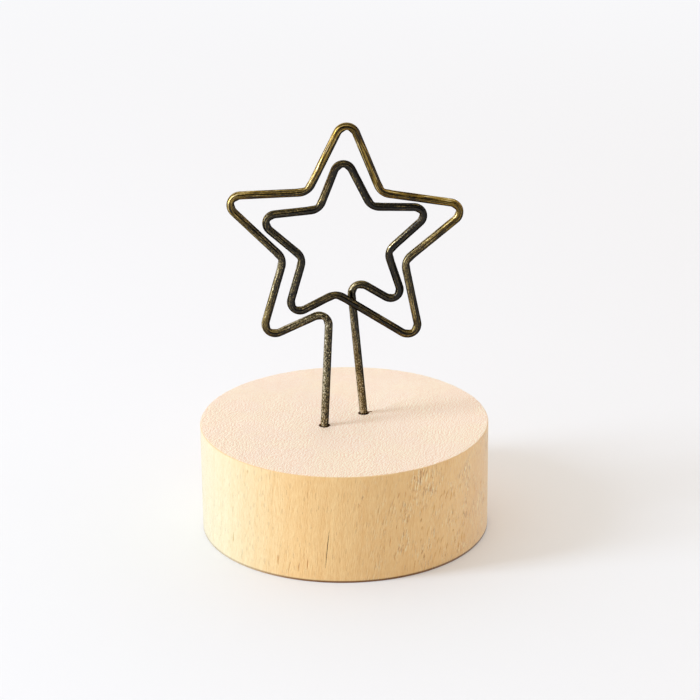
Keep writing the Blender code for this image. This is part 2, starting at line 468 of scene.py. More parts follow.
def flake():
    """A shallow dish that the drill tore out of the top, next to the right hole."""
    x, y, radius, _ = hole_facts("right")
    along = Vector((math.cos(FLAKE_BEARING), math.sin(FLAKE_BEARING), 0.0))
    across = Vector((-along.y, along.x, 0.0))
    centre = Vector((x, y, 0.0)) + along * (radius + FLAKE_REACH * FLAKE_LENGTH)
    rings = []
    for share, height in FLAKE_RINGS:
        ring = []
        for i in range(FLAKE_SIDES):
            angle = math.tau * i / FLAKE_SIDES
            ragged = share * (FLAKE_CORE + FLAKE_RAGGED * wander(angle, FLAKE_SEED, FLAKE_CELLS))
            spot = centre + along * (0.5 * FLAKE_LENGTH * ragged * math.cos(angle))
            spot += across * (0.5 * FLAKE_WIDTH * ragged * math.sin(angle))
            ring.append(spot + UP * (DISC_HEIGHT + height))
        rings.append(ring)
    return skin("flake", rings)


chip = flake()
print("flake is", round(FLAKE_LENGTH / MM, 2), "mm long")

# %% [markdown]
# ## A blade that opens the wood
# Turning opens the wood along its grain: one long split near the foot, and many short torn pores.
# They are real grooves, so each is cut by a thin blade, a narrow V that opens outwards, swells in
# the middle, strays a little and leans with the grain.

# %% Blade
GRAIN_LEAN = math.radians(6.0)
BLADE_STATIONS = 9
BLADE_OUTSIDE = 0.12 * MM
# How wide a blade still is at its two tips, and how full it is between them (less is fuller)
BLADE_TIP = 0.06
BLADE_FULLNESS = 0.7
# How far a blade strays sideways, as a share of its width, and how quickly along its length
BLADE_STRAY = 0.35
BLADE_WAVES = 3.0


def blade(bearing, low, high, width, depth, lean, seed):
    """A thin wedge that cuts one groove up the disc's side, from low to high along the grain."""
    middle = (low + high) / 2
    rings = []
    for i in range(BLADE_STATIONS):
        share = i / (BLADE_STATIONS - 1)
        height = low + share * (high - low)
        swell = max(BLADE_TIP, math.sin(math.pi * share)) ** BLADE_FULLNESS
        sideways = (height - middle) * math.tan(lean)
        stray = BLADE_STRAY * width * noise.noise(Vector((share * BLADE_WAVES, seed, 0.0)))
        angle = bearing + (sideways + stray) / DISC_RADIUS
        out = Vector((math.cos(angle), math.sin(angle), 0.0))
        side = Vector((-math.sin(angle), math.cos(angle), 0.0))
        # Outside the skin the V goes on opening, so that it is just this wide at the skin
        opening = 0.5 * width * swell * (1 + BLADE_OUTSIDE / (depth * swell))
        rim = out * (DISC_RADIUS + BLADE_OUTSIDE) + UP * height
        root = out * (DISC_RADIUS - depth * swell) + UP * height
        rings.append([rim + side * opening, root, rim - side * opening])
    return rings


def joined(name, blades):
    """One cutter made of many separate blades."""
    bodies = [skin(f"{name}_{i}", rings) for i, rings in enumerate(blades)]
    with bpy.context.temp_override(active_object=bodies[0], selected_editable_objects=bodies):
        bpy.ops.object.join()
    bodies[0].name = name
    return bodies[0]


print("grain leans by", round(math.degrees(GRAIN_LEAN)), "degrees")

# %% [markdown]
# ## The split
# One long split runs up from near the foot, left of the middle. It is as thin as a hair, so it is cut
# deep enough for its floor to stay dark.

# %% Split
SPLIT_BEARING = math.radians(-90.0 - 8.9)
SPLIT_LOW = 2.1 * MM
SPLIT_HIGH = 7.7 * MM
SPLIT_WIDTH = 0.085 * MM
SPLIT_DEPTH = 0.55 * MM
SPLIT_SEED = 3.0

split = blade(SPLIT_BEARING, SPLIT_LOW, SPLIT_HIGH, SPLIT_WIDTH, SPLIT_DEPTH, GRAIN_LEAN, SPLIT_SEED)
split_cutter = joined("split_cutter", [split])
print("split is", round((SPLIT_HIGH - SPLIT_LOW) / MM, 1), "mm long")

# %% [markdown]
# ## Torn pores
# Where the pores cluster in front follows the real disc, cluster by cluster. A seeded random spread
# places the strokes inside each cluster, and a few wide clusters carry them round the back. Seeding
# keeps every run the same.

# %% Where the pores are
PORE_CLUSTERS = (
    # bearing from the front in degrees (to the right), height in mm, spread in degrees and mm,
    # how far the strokes lean in degrees, count
    (3.2, 10.8, 2.0, 1.4, 4.0, 5),
    (20.0, 10.4, 3.0, 1.8, 8.0, 8),
    (28.4, 8.6, 0.7, 5.6, 3.0, 16),
    (41.0, 11.4, 4.0, 1.6, 24.0, 12),
    (30.7, 4.9, 2.5, 1.6, 14.0, 6),
    (38.5, 3.4, 4.0, 2.0, 20.0, 12),
    (48.5, 3.4, 4.0, 2.2, 12.0, 10),
    (17.0, 4.6, 5.0, 2.2, 6.0, 10),
    (36.0, 7.5, 16.0, 4.0, 10.0, 26),
    (-22.0, 2.6, 9.0, 1.0, 6.0, 4),
    (-45.0, 8.0, 12.0, 4.0, 4.0, 2),
    (80.0, 8.0, 16.0, 4.0, 8.0, 18),
    (130.0, 7.0, 22.0, 4.0, 4.0, 24),
    (185.0, 9.0, 22.0, 4.0, -4.0, 24),
    (240.0, 6.5, 22.0, 4.0, -8.0, 22),
)
PORE_LENGTH = (0.40 * MM, 2.0 * MM)
PORE_WIDTH = (0.12 * MM, 0.26 * MM)
PORE_DEPTH_SHARE = 0.6
# A cluster's spread is about its whole width, of which this share is one standard deviation
SPREAD_SHARE = 0.6
LEAN_SCATTER = 4.0
STRAY_SEEDS = 9.0
# No pore comes this near the disc's top or foot, or this near another pore
PORE_MARGIN = 0.8 * MM
GAP_ACROSS = 0.45 * MM
GAP_ALONG = 0.2 * MM
PORE_SEED = 12


def crosses(bearing, middle, length, taken):
    """Whether a groove at this place would meet one of those already taken."""
    for other_bearing, other_middle, other_length in taken:
        beside = abs(bearing - other_bearing) * DISC_RADIUS <= GAP_ACROSS
        level_with = abs(middle - other_middle) <= (length + other_length) / 2 + GAP_ALONG
        if beside and level_with:
            return True
    return False


def scattered_pores(taken):
    """A blade for each pore. One that would cross another groove is left out."""
    grain = random.Random(PORE_SEED)
    blades = []
    for towards, high_up, turn_spread, height_spread, leaning, count in PORE_CLUSTERS:
        for _ in range(count):
            bearing = math.radians(towards - 90.0 + grain.gauss(0.0, turn_spread * SPREAD_SHARE))
            length = grain.uniform(*PORE_LENGTH)
            half = length / 2
            middle = high_up * MM + grain.gauss(0.0, height_spread * SPREAD_SHARE) * MM
            middle = min(DISC_HEIGHT - PORE_MARGIN - half, max(PORE_MARGIN + half, middle))
            width = grain.uniform(*PORE_WIDTH)
            if crosses(bearing, middle, length, taken):
                continue
            taken.append((bearing, middle, length))
            lean = math.radians(leaning + grain.gauss(0.0, LEAN_SCATTER))
            low, high = middle - half, middle + half
            depth = PORE_DEPTH_SHARE * width
            blades.append(blade(bearing, low, high, width, depth, lean, bearing * STRAY_SEEDS))
    return blades


pores = scattered_pores([(SPLIT_BEARING, (SPLIT_LOW + SPLIT_HIGH) / 2, SPLIT_HIGH - SPLIT_LOW)])
pore_cutter = joined("pore_cutter", pores)
print("pores to cut:", len(pores))

# %% [markdown]
# ## The space of the log
# The disc is a pale, close-grained hardwood like beech. Solid wood is coloured all through, so its
# pattern is worked out in the space of the log and not painted on the skin: stretched along the
# grain, cells become streaks on the side and specks on the end grain by themselves, as they do under
# a real saw. The grain leans a little, because the bar wasn't sawn quite along it.

# %% Positions and cells in the log
CLOUDY = {"Scale": 1.0, "Detail": 2.0, "Roughness": 0.6}
NO_TURN = (0.0, 0.0, 0.0)
NO_SHIFT = (0.0, 0.0, 0.0)


def log_space(tree):
    """Positions in millimetres, turned so that the grain runs along Z."""
    place = add(tree, "TexCoord").outputs["Object"]
    upright = (0.0, -GRAIN_LEAN, 0.0)
    return add(tree, "Mapping", {"Vector": place, "Rotation": upright, "Scale": (1 / MM,) * 3})


def cells_of(tree, log, size, turn=NO_TURN, shift=NO_SHIFT):
    """Noise from 0 to 1 whose blobs have this size in millimetres."""
    # A mapping of the texture kind turns first and divides by its scale after, so sizes can be given
    turned = {"Vector": log, "Location": shift, "Rotation": turn, "Scale": size}
    place = add(tree, "Mapping", turned, vector_type="TEXTURE")
    return add(tree, "TexNoise", {"Vector": place, **CLOUDY})


print("one unit of the log is", MM, "m")

# %% [markdown]
# ## Fibres and growth rings
# Beech fibres are a fiftieth of a millimetre wide, which is far below a pixel, so the finest layer is
# drawn 0.11 mm wide. Three wider layers gather them into bundles and bands. The growth rings are
# faint arcs about a pith that lies outside the disc, because the bar was split from a thick log.

# %% Fibres and rings
FIBRE_LAYERS = (
    # width across the grain and length along it in mm, how much it lightens or darkens the wood
    (0.11, 1.0, 0.74),
    (0.20, 2.2, 0.38),
    (0.90, 14.0, 0.10),
    (4.00, 45.0, 0.14),
)
MIDDLE_SHADE = 0.5
PITH = (-60.0, 20.0)
RING_SPACING = 2.3
RING_WARP = 1.1
WARPS_PER_MM = 0.12
# The share of a year's growth at which the late wood starts to darken, and where it is darkest
LATE_WOOD = {"From Min": 0.55, "From Max": 1.0}


def fibre_shade(tree, log):
    """Streaks on the side and specks on the end grain, from fine fibres to broad bands."""
    shade = MIDDLE_SHADE
    for width, length, strength in FIBRE_LAYERS:
        drawn_out = (1 / width, 1 / width, 1 / length)
        squeezed = add(tree, "Mapping", {"Vector": log, "Scale": drawn_out})
        streaks = add(tree, "TexNoise", {"Vector": squeezed, **CLOUDY})
        centred = add(tree, "Math", {0: streaks, 1: 0.5}, operation="SUBTRACT")
        shade = add(tree, "Math", {0: centred, 1: 2 * strength, 2: shade}, operation="MULTIPLY_ADD")
    return shade


def late_wood(tree, log):
    """The dark line of each growth ring: faint arcs about a pith far to the left."""
    warp = add(tree, "TexNoise", {"Vector": log, "Scale": WARPS_PER_MM, "Detail": 1.0})
    about_pith = {"Vector": log, "Location": (-PITH[0], -PITH[1], 0.0), "Scale": (1, 1, 0)}
    from_pith = add(tree, "Mapping", about_pith)
    distance = add(tree, "VectorMath", {0: from_pith}, operation="LENGTH").outputs["Value"]
    bent = add(tree, "Math", {0: warp, 1: RING_WARP, 2: distance}, operation="MULTIPLY_ADD")
    years = add(tree, "Math", {0: bent, 1: RING_SPACING}, operation="DIVIDE")
    this_year = add(tree, "Math", {0: years}, operation="FRACT")
    return add(tree, "MapRange", {"Value": this_year, **LATE_WOOD}, **SOFTLY)


print("fibre layers:", len(FIBRE_LAYERS), "and a ring every", RING_SPACING, "mm")

# %% [markdown]
# ## Open vessels
# Between the fibres run hollow tubes, which the saw cuts open along their length on the side and
# across on the end. Each is a cell of a Voronoi pattern, stretched along the grain and with a width
# of its own. Real ones are less than a tenth of a millimetre wide, and they are drawn up to twice
# that, so that they just show.

# %% Open vessels
VESSEL_SPACING = 0.34
VESSEL_STRETCH = 5.0
# The widest vessel's radius, as a share of the spacing
VESSEL_RADIUS = 0.30
VESSEL_WALL = {"From Min": -0.03, "From Max": 0.05}


def open_vessels(tree, log):
    """1 inside each cut vessel, 0 in the wood between."""
    across = 1 / VESSEL_SPACING
    along = 1 / (VESSEL_SPACING * VESSEL_STRETCH)
    tubes = add(tree, "Mapping", {"Vector": log, "Scale": (across, across, along)})
    cells = add(tree, "TexVoronoi", {"Vector": tubes, "Scale": 1.0, "Randomness": 1.0})
    chance = add(tree, "SeparateColor", {"Color": cells.outputs["Color"]}).outputs["Red"]
    width = add(tree, "Math", {0: chance, 1: VESSEL_RADIUS}, operation="MULTIPLY")
    inside = add(tree, "Math", {0: width, 1: cells.outputs["Distance"]}, operation="SUBTRACT")
    return add(tree, "MapRange", {"Value": inside, **VESSEL_WALL}, **SOFTLY)


print("vessels are up to", round(2 * VESSEL_RADIUS * VESSEL_SPACING, 2), "mm wide")

# %% [markdown]
# ## Torn fibres on the side
# The chisel tore short fibres out of the heartwood on the right, in patches. Each is a shallow pit,
# painted brown partly as torn wood and partly as the shade in it. Beside it, on the lip where the torn
# fibre stands up towards the window, is a painted highlight. There are thousands of them, so they are
# drawn as noise and not cut. The same pattern moved a little to one side gives the lips.

# %% Torn fibres
# Width, depth and length in mm, of one pit and of a patch of them
TORN_PIT = (0.17, 0.17, 1.60)
TORN_PATCH = (2.6, 2.6, 4.5)
TORN_TURN = (0.0, math.radians(4.0), 0.0)
# How far the lips' painted highlight lies beside its pit, in mm
LIP_HIGHLIGHT_SHIFT = (0.15, 0.0, 0.0)
# Where the noise is high enough for a pit, and for a patch
PIT_LEVEL = {"From Min": 0.56, "From Max": 0.61}
PATCH_LEVEL = {"From Min": 0.42, "From Max": 0.62}
# How far to the right of the disc's middle the pits start, and where all of them show, in mm
TORN_HEART = {"From Min": -2.0, "From Max": 8.0}


def torn_pits(tree, log, shift=NO_SHIFT):
    """1 inside each torn pit, in patches, and only on the right."""
    pit_noise = cells_of(tree, log, TORN_PIT, TORN_TURN, shift)
    pit = add(tree, "MapRange", {"Value": pit_noise, **PIT_LEVEL}, **SOFTLY)
    patch = add(tree, "MapRange", {"Value": cells_of(tree, log, TORN_PATCH), **PATCH_LEVEL}, **SOFTLY)
    across = add(tree, "SeparateXYZ", {0: log}).outputs["X"]
    heart = add(tree, "MapRange", {"Value": across, **TORN_HEART}, **SOFTLY)
    patch = add(tree, "Math", {0: patch, 1: heart}, operation="MULTIPLY")
    return add(tree, "Math", {0: pit, 1: patch}, operation="MULTIPLY")


print("torn pits are", TORN_PIT[0], "mm wide and up to", TORN_PIT[2], "mm long")

# %% [markdown]
# ## Pressed strokes on the end grain
# Sandpaper drags over end grain and lays its fibres down in short slanting strokes, most of all on
# the front half of this disc. Each stroke has a lit side and a shaded side. Noise less the same noise
# moved a little gives just that, as an emboss does. Grit of about 240 leaves marks a twentieth of a
# millimetre wide, and the strokes are drawn 0.18 mm wide, so that they show.

# %% Pressed strokes
# Width and length in mm, which way they run, how far the second copy is moved, and their patches
STROKE = (0.18, 0.40, 1.0)
STROKE_TURN = (0.0, 0.0, math.radians(-30.0))
STROKE_SHIFT = (0.11, -0.04, 0.0)
STROKE_PATCH = (1.6, 1.6, 1.6)
# Behind the first of these places there are no strokes, and in front of the second they are full
FRONT_HALF = {"From Min": 12.0 * MM, "From Max": -6.0 * MM}
# Where the noise is high enough for a patch to be pressed
PRESSED = {"From Min": 0.20, "From Max": 0.56}


def pressed_strokes(tree, log, place):
    """Above 0 on the lit side of each stroke and below 0 on its shaded side."""
    here = cells_of(tree, log, STROKE, STROKE_TURN)
    beside = cells_of(tree, log, STROKE, STROKE_TURN, STROKE_SHIFT)
    strokes = add(tree, "Math", {0: beside, 1: here}, operation="SUBTRACT")
    in_front = add(tree, "MapRange", {"Value": place["Y"], **FRONT_HALF}, **SOFTLY)
    pressed = add(tree, "MapRange", {"Value": cells_of(tree, log, STROKE_PATCH), **PRESSED}, **SOFTLY)
    strokes = add(tree, "Math", {0: strokes, 1: in_front}, operation="MULTIPLY")
    return add(tree, "Math", {0: strokes, 1: pressed}, operation="MULTIPLY")


print("strokes are", STROKE[0], "mm wide and", STROKE[1], "mm long")

# %% [markdown]
# ## End grain
# The top is sawn across the fibres. Open fibre ends drink light, so end grain is pinker and duller
# than the side. It is creamier in some patches and pinker in others, with the strokes and the faintest
# of rings over it.

# %% End grain
END_PALE = "FFF4D9"
END_PINK = "FFF0DC"
END_DEEP = "ECC4A0"
END_RING_SHADE = 0.05
STROKE_SHADE = 20.0
CREAM_PATCH = (7.0, 7.0, 7.0)
CREAM_LEVEL = {"From Min": 0.38, "From Max": 0.62}


def end_grain(tree, log, shade, rings, strokes):
    """The colour of wood cut across its fibres."""
    cream_noise = cells_of(tree, log, CREAM_PATCH)
    pinker = add(tree, "MapRange", {"Value": cream_noise, **CREAM_LEVEL}, **SOFTLY)
    pales = {"Factor": pinker, "A": linear(END_PALE), "B": linear(END_PINK)}
    pale = add(tree, "Mix", pales, **IN_COLOUR)
    ringed = add(tree, "Math", {0: rings, 1: -END_RING_SHADE, 2: shade}, operation="MULTIPLY_ADD")
    # The strokes' lit and shaded sides are painted into the colour here, as well as given as a bump
    lit = add(tree, "Math", {0: strokes, 1: STROKE_SHADE, 2: ringed}, operation="MULTIPLY_ADD")
    return add(tree, "Mix", {"Factor": lit, "A": linear(END_DEEP), "B": pale}, **IN_COLOUR)


print("end grain runs from", END_DEEP, "to", END_PALE)

# %% [markdown]
# ## The side
# Round the side the fibres lie along the surface and shine back more of the light, so the same wood
# is honey coloured there. On the left, where the window strikes it, the side is painted paler and less
# yellow, as a painted highlight. The torn pits and their pale lips lie over it.

# %% Side wood
SIDE_PALE = "FDDA9C"
SIDE_DEEP = "EAB874"
# The side's painted highlight on the left, where the window strikes it
LIT_SIDE_PALE = "ECE7C6"
LIT_SIDE_DEEP = "DECC9A"
# The lips' painted highlight, and the pits' brown, which is torn wood and painted shade together
LIP_HIGHLIGHT = "FFEABA"
TORN_WOOD_AND_SHADE = "AE6212"
TORN_AND_SHADE_SHARE = 0.58
RING_SHADE = 0.14
# Plain side right of the first place, all painted highlight left of the second
LIT_SIDE_EDGE = {"From Min": -6.0 * MM, "From Max": -20.0 * MM}


def side_wood(tree, log, shade, rings, place, pits):
    """The colour of wood cut along its fibres."""
    ringed = add(tree, "Math", {0: rings, 1: -RING_SHADE, 2: shade}, operation="MULTIPLY_ADD")
    hearts = {"Factor": ringed, "A": linear(SIDE_DEEP), "B": linear(SIDE_PALE)}
    # The same side with the window's light painted in: paler and less yellow
    lit_sides = {"Factor": ringed, "A": linear(LIT_SIDE_DEEP), "B": linear(LIT_SIDE_PALE)}
    heart = add(tree, "Mix", hearts, **IN_COLOUR)
    lit_side = add(tree, "Mix", lit_sides, **IN_COLOUR)
    to_lit_side = add(tree, "MapRange", {"Value": place["X"], **LIT_SIDE_EDGE}, **SOFTLY)
    colour = add(tree, "Mix", {"Factor": to_lit_side, "A": heart, "B": lit_side}, **IN_COLOUR)
    # Painted highlight on each pit's lip, then the pit's brown: torn wood with painted shade
    lips = torn_pits(tree, log, LIP_HIGHLIGHT_SHIFT)
    colour = add(tree, "Mix", {"Factor": lips, "A": colour, "B": linear(LIP_HIGHLIGHT)}, **IN_COLOUR)
    torn = add(tree, "Math", {0: pits, 1: TORN_AND_SHADE_SHARE}, operation="MULTIPLY")
    return add(tree, "Mix", {"Factor": torn, "A": colour, "B": linear(TORN_WOOD_AND_SHADE)}, **IN_COLOUR)


print("side runs from", SIDE_DEEP, "to", SIDE_PALE, "and its sapwood to", LIT_SIDE_PALE)

# %% [markdown]
# ## Which way the wood was cut, and the painted shade at its foot
# The normal tells how the wood was cut: straight up is end grain, sideways is the side, and between
# them lies the eased corner, burnished a little orange by the sandpaper. The very edge of the foot is
# painted brown as the shade where it meets the paper, lighter on the left, where the window reaches it.

# %% Cut, and painted shade at the foot
END_GRAIN = {"From Min": 0.80, "From Max": 0.985}
EASED_CORNER = {"From Min": 0.1, "From Max": 0.5}
# Painted shade: none above the first height and full below the second, and lightest left of the last
# place
FOOT_SHADE_EDGE = {"From Min": 0.36 * MM, "From Max": 0.198 * MM}
FOOT_SHADE_LIGHTER = {"From Min": -4.0 * MM, "From Max": -18.0 * MM}
FOOT_SHADE_STRENGTH = 0.95
FOOT_SHADE_LOST = 0.55


def ways_cut(tree):
    """How far the surface is end grain, and how far it belongs to an eased corner or beyond."""
    normal = add(tree, "SeparateXYZ", {0: add(tree, "TexCoord").outputs["Normal"]})
    upright = add(tree, "Math", {0: normal.outputs["Z"]}, operation="ABSOLUTE")
    end = add(tree, "MapRange", {"Value": upright, **END_GRAIN}, **SOFTLY)
    eased = add(tree, "MapRange", {"Value": upright, **EASED_CORNER}, **SOFTLY)
    return end, eased


def painted_foot_shade(tree, place):
    """How much painted shade darkens the foot's edge."""
    at_foot = add(tree, "MapRange", {"Value": place["Z"], **FOOT_SHADE_EDGE}, **SOFTLY)
    at_left = add(tree, "MapRange", {"Value": place["X"], **FOOT_SHADE_LIGHTER}, **SOFTLY)
    kept = {0: at_left, 1: -FOOT_SHADE_LOST, 2: FOOT_SHADE_STRENGTH}
    strength = add(tree, "Math", kept, operation="MULTIPLY_ADD")
    return add(tree, "Math", {0: at_foot, 1: strength}, operation="MULTIPLY")


print("foot is brown up to", round(FOOT_SHADE_EDGE["From Min"] / MM, 2), "mm")

# %% [markdown]
# ## Sanded beech
# The bar was turned, sanded to about 240 grit and left bare. Sanding leaves the wood silky and not
# glossy: a middling roughness with wood's usual IOR of 1.5, and a soft sheen from the cut fibre ends,
# which lightens it where it is seen at a slant. Its relief is a few hundredths of a millimetre, so it
# is a bump, given in true heights.

# %% Sanded beech
CORNER = "F0C890"
# Brown of the painted shade along the foot's edge
PAINTED_FOOT_SHADE = "744619"
VESSEL = "9C6228"
VESSEL_SHARE = 0.10
# Relief in millimetres
FIBRE_HEIGHT = 0.05
VESSEL_DEPTH = 0.03
TORN_DEPTH = 0.01
STROKE_HEIGHT = 0.044
BEECH_ROUGHNESS = 0.48
WOOD_IOR = 1.5
BEECH_SHEEN = 0.7
SHEEN_ROUGHNESS = 0.4


def beech_relief(tree, shade, vessel, pits, strokes, end):
    """Heights in millimetres, as a bump: fibres, open vessels, torn pits and strokes."""
    on_side = add(tree, "Math", {0: 1.0, 1: end}, operation="SUBTRACT")
    side_pits = add(tree, "Math", {0: pits, 1: on_side}, operation="MULTIPLY")
    end_strokes = add(tree, "Math", {0: strokes, 1: end}, operation="MULTIPLY")
    height = add(tree, "Math", {0: shade, 1: FIBRE_HEIGHT}, operation="MULTIPLY")
    layers = ((vessel, -VESSEL_DEPTH), (side_pits, -TORN_DEPTH), (end_strokes, STROKE_HEIGHT))
    for layer, rise in layers:
        height = add(tree, "Math", {0: layer, 1: rise, 2: height}, operation="MULTIPLY_ADD")
    return add(tree, "Bump", {"Strength": 1.0, "Distance": MM, "Height": height})


def beech():
    """Bare sanded hardwood: end grain above, fibres round the side, an orange corner between."""
    material, tree, shader = new_material("sanded_beech")
    log = log_space(tree)
    place = add(tree, "SeparateXYZ", {0: add(tree, "TexCoord").outputs["Object"]}).outputs
    shade = fibre_shade(tree, log)
    rings = late_wood(tree, log)
    vessel = open_vessels(tree, log)
    pits = torn_pits(tree, log)
    strokes = pressed_strokes(tree, log, place)
    end, eased = ways_cut(tree)

    side_colour = side_wood(tree, log, shade, rings, place, pits)
    end_colour = end_grain(tree, log, shade, rings, strokes)
    burnished = {"Factor": eased, "A": side_colour, "B": linear(CORNER)}
    corner = add(tree, "Mix", burnished, **IN_COLOUR)
    cut = add(tree, "Mix", {"Factor": end, "A": corner, "B": end_colour}, **IN_COLOUR)
    hollow = add(tree, "Math", {0: vessel, 1: VESSEL_SHARE}, operation="MULTIPLY")
    open_wood = add(tree, "Mix", {"Factor": hollow, "A": cut, "B": linear(VESSEL)}, **IN_COLOUR)
    # Painted shade along the foot's edge, where it meets the paper
    foot_shaded = {"Factor": painted_foot_shade(tree, place), "A": open_wood, "B": linear(PAINTED_FOOT_SHADE)}
    fill(tree, shader, {
        "Base Color": add(tree, "Mix", foot_shaded, **IN_COLOUR),
        "Normal": beech_relief(tree, shade, vessel, pits, strokes, end),
        "Roughness": BEECH_ROUGHNESS,
        "IOR": WOOD_IOR,
        "Sheen Weight": BEECH_SHEEN,
        "Sheen Roughness": SHEEN_ROUGHNESS,
    })
    return material


pale_wood = beech()
print("sanded beech has", len(pale_wood.node_tree.nodes), "nodes")

# %% [markdown]
# ## Torn beech, darkened as painted shade
# Inside the split, the flake and the drilled holes nothing was sanded. The wood there is torn, so it
# is rough. It is painted a deep brown, partly for the torn wood and partly as the shade in these
# narrow recesses. Its torn fibres are drawn a tenth of a millimetre wide.

# %% Torn beech in painted shade
PORE_WOOD_AND_SHADE = "6A3814"
PORE_WOOD_AND_SHADE_LIGHT = "9A6430"
TORN_FIBRE = (0.1, 0.1, 1.5)
TORN_ROUGHNESS = 0.85


def torn_beech_in_shade():
    """Unsanded wood, browned as painted shade: rough and streaked along the grain."""
    material, tree, shader = new_material("torn_beech_in_shade")
    drawn_out = tuple(1 / size for size in TORN_FIBRE)
    squeezed = add(tree, "Mapping", {"Vector": log_space(tree), "Scale": drawn_out})
    fibres = add(tree, "TexNoise", {"Vector": squeezed, "Scale": 1.0, "Detail": 3.0})
    browns = {"Factor": fibres, "A": linear(PORE_WOOD_AND_SHADE), "B": linear(PORE_WOOD_AND_SHADE_LIGHT)}
    fill(tree, shader, {
        "Base Color": add(tree, "Mix", browns, **IN_COLOUR),
        "Roughness": TORN_ROUGHNESS,
        "IOR": WOOD_IOR,
    })
    return material


torn_and_shaded_wood = torn_beech_in_shade()
print("torn beech runs from", PORE_WOOD_AND_SHADE, "to", PORE_WOOD_AND_SHADE_LIGHT)

# %% [markdown]
# ## Cutting the disc
# The drills, the flake, the split and the pores are taken out of the disc one after the other, by
# exact Booleans. A Boolean can pass a cutter's material on to the walls that it cuts. The drills, the
# flake and the split carry the torn wood, darkened as painted shade. The pores are shallow and were
# sanded over, so they carry the pale wood, and only their shade shows them.

# %% Cut the disc and dress it
SHARP_WOOD = math.radians(35.0)


def finished(piece, sharp_angle):
    """Fixes the piece's modifiers as its mesh, shaded smooth but for its sharp edges."""
    graph = bpy.context.evaluated_depsgraph_get()
    mesh = bpy.data.meshes.new_from_object(piece.evaluated_get(graph))
    piece.modifiers.clear()
    piece.data = mesh
    mesh.name = piece.name
    mesh.shade_smooth()
    mesh.set_sharp_from_angle(angle=sharp_angle)


# The drills, the flake and the split pass on the torn wood with its painted shade
cutters = [(tool, torn_and_shaded_wood) for tool in (*drills, chip, split_cutter)] + [(pore_cutter, pale_wood)]
disc.data.materials.append(pale_wood)
for tool, walls_of in cutters:
    tool.data.materials.append(walls_of)
    cut = disc.modifiers.new(tool.name, "BOOLEAN")
    cut.operation = "DIFFERENCE"
    cut.solver = "EXACT"
    cut.material_mode = "TRANSFER"
    cut.object = tool
bpy.context.view_layer.update()
finished(disc, SHARP_WOOD)
for tool, _ in cutters:
    bpy.data.objects.remove(tool, do_unlink=True)
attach(disc, "root")
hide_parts("wood_base")
print("disc has", len(disc.data.polygons), "faces and", len(disc.data.materials), "materials")

# %% [markdown]
# ## The bent wire
# The wire is straight stock, bent corner by corner round small pins, so its line is a list of
# corners, each rounded by its own radius. The outer turn runs clockwise from the lower left tip, the
# inner turn follows inside it and drifts from the front to the back, and the two ends run down into
# the disc. These are the corners of the measured wire, so that this one lies exactly on it.

# %% Corners of the wire
WIRE_RADIUS = 0.56 * MM
TURN_GAP = 0.1 * MM
LEG_END_GAP = 0.2 * MM
STAR_CENTRE_X = 0.2 * MM
STAR_CENTRE_HEIGHT = DISC_HEIGHT + 26.2 * MM
STAR_BEARING = 87.5
HALF_POINT = 36.0
FIRST_STEP = -4
# How far out in mm, and the bend's radius in mm
OUTER_TIP = (18.2, 1.36)
OUTER_NOTCH = (8.5, 2.03)
INNER_TIP = (13.1, 1.25)
INNER_NOTCH = (5.9, 1.86)
LEG_BEND = 1.33
FOOT_BEND = 3.0
# How far out in mm, and the bearing in degrees anticlockwise from the right
LEFT_LEG_CORNER = (10.0, -102.0)
RIGHT_LEG_CORNER = (5.5, -81.7)
# How far each corner strays from the regular star: outwards in mm, and anticlockwise in degrees
OUTER_STRAYS = (
    (0.1, -0.9), (0.0, 0.4), (0.0, -1.0), (0.0, 1.0), (-0.2, 0.5),
    (-0.1, 1.6), (-0.2, -0.4), (0.2, 0.3), (0.2, 1.5), (-1.0, -6.1),
)
INNER_STRAYS = (
    (0.6, 2.4), (0.1, 7.2), (-0.4, 3.9), (-0.4, 3.4), (-0.6, 3.0),
    (0.0, -0.8), (0.2, 3.2), (0.3, 2.4), (0.3, 6.2),
)


def star_corner(reach, bearing, depth, radius):
    """A corner of the wire: its place, from a reach in mm and a bearing in degrees, and its radius."""
    angle = math.radians(bearing)
    x = STAR_CENTRE_X + reach * MM * math.cos(angle)
    z = STAR_CENTRE_HEIGHT + reach * MM * math.sin(angle)
    return Vector((x, depth, z)), radius * MM


def turn_corners(strays, tip, notch, depths):
    """The corners of one turn, clockwise from the lower left tip. Even steps from the top are tips."""
    corners = []
    for i, ((outwards, anticlockwise), depth) in enumerate(zip(strays, depths)):
        step = i + FIRST_STEP
        reach, radius = notch if step % 2 else tip
        bearing = STAR_BEARING - step * HALF_POINT + anticlockwise
        corners.append(star_corner(reach + outwards, bearing, depth, radius))
    return corners


def wire_corners():
    """Every corner from the left leg's end, round both turns, to the right leg's end."""
    back = WIRE_RADIUS + TURN_GAP / 2
    feet = {}
    for side in ("left", "right"):
        x, y, _, _ = hole_facts(side)
        feet[side] = Vector((x, y, DISC_HEIGHT))
    end_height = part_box("left_glue_plug")[1].z + LEG_END_GAP
    end_drop = UP * (DISC_HEIGHT - end_height)
    drift = 2 * back / (len(INNER_STRAYS) + 1)
    inner_depths = [-back + drift * (i + 1) for i in range(len(INNER_STRAYS))]
    return [
        (feet["left"] - end_drop, 0.0),
        (feet["left"], FOOT_BEND * MM),
        star_corner(*LEFT_LEG_CORNER, -back, LEG_BEND),
        *turn_corners(OUTER_STRAYS, OUTER_TIP, OUTER_NOTCH, [-back] * len(OUTER_STRAYS)),
        *turn_corners(INNER_STRAYS, INNER_TIP, INNER_NOTCH, inner_depths),
        star_corner(*RIGHT_LEG_CORNER, back, LEG_BEND),
        (feet["right"], FOOT_BEND * MM),
        (feet["right"] - end_drop, 0.0),
    ]


corners_of_wire = wire_corners()
print("wire has", len(corners_of_wire) - 2, "bends")

